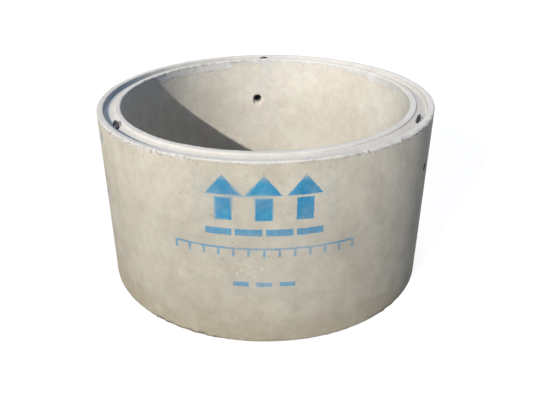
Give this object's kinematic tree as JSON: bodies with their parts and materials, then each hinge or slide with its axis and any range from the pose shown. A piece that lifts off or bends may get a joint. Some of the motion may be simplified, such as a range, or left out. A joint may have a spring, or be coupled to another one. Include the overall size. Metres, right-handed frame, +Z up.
{
  "type": "precast concrete manhole ring",
  "caption": "Short, wide precast concrete chamber ring with a grooved rim, cast-in steel lifting loops and lifting holes through the wall, stacked to build a round shaft.",
  "frame": {"origin": "centre of the base, on the axis of the ring", "axes": "+Z up along the axis of the bore, -Y towards the side that the picture shows, +X to its right"},
  "size_m": [1.39, 1.39, 0.758],
  "materials": {
    "concrete": "dry precast concrete, warm grey, mottled, with small air holes and chipped edges",
    "loop_steel": "dark mild steel bar with light rust"
  },
  "bodies": {
    "root": {"concrete_ring": "concrete", "lifting_loop_back": "loop_steel", "lifting_loop_left": "loop_steel", "lifting_loop_right": "loop_steel"}
  },
  "joints": []
}
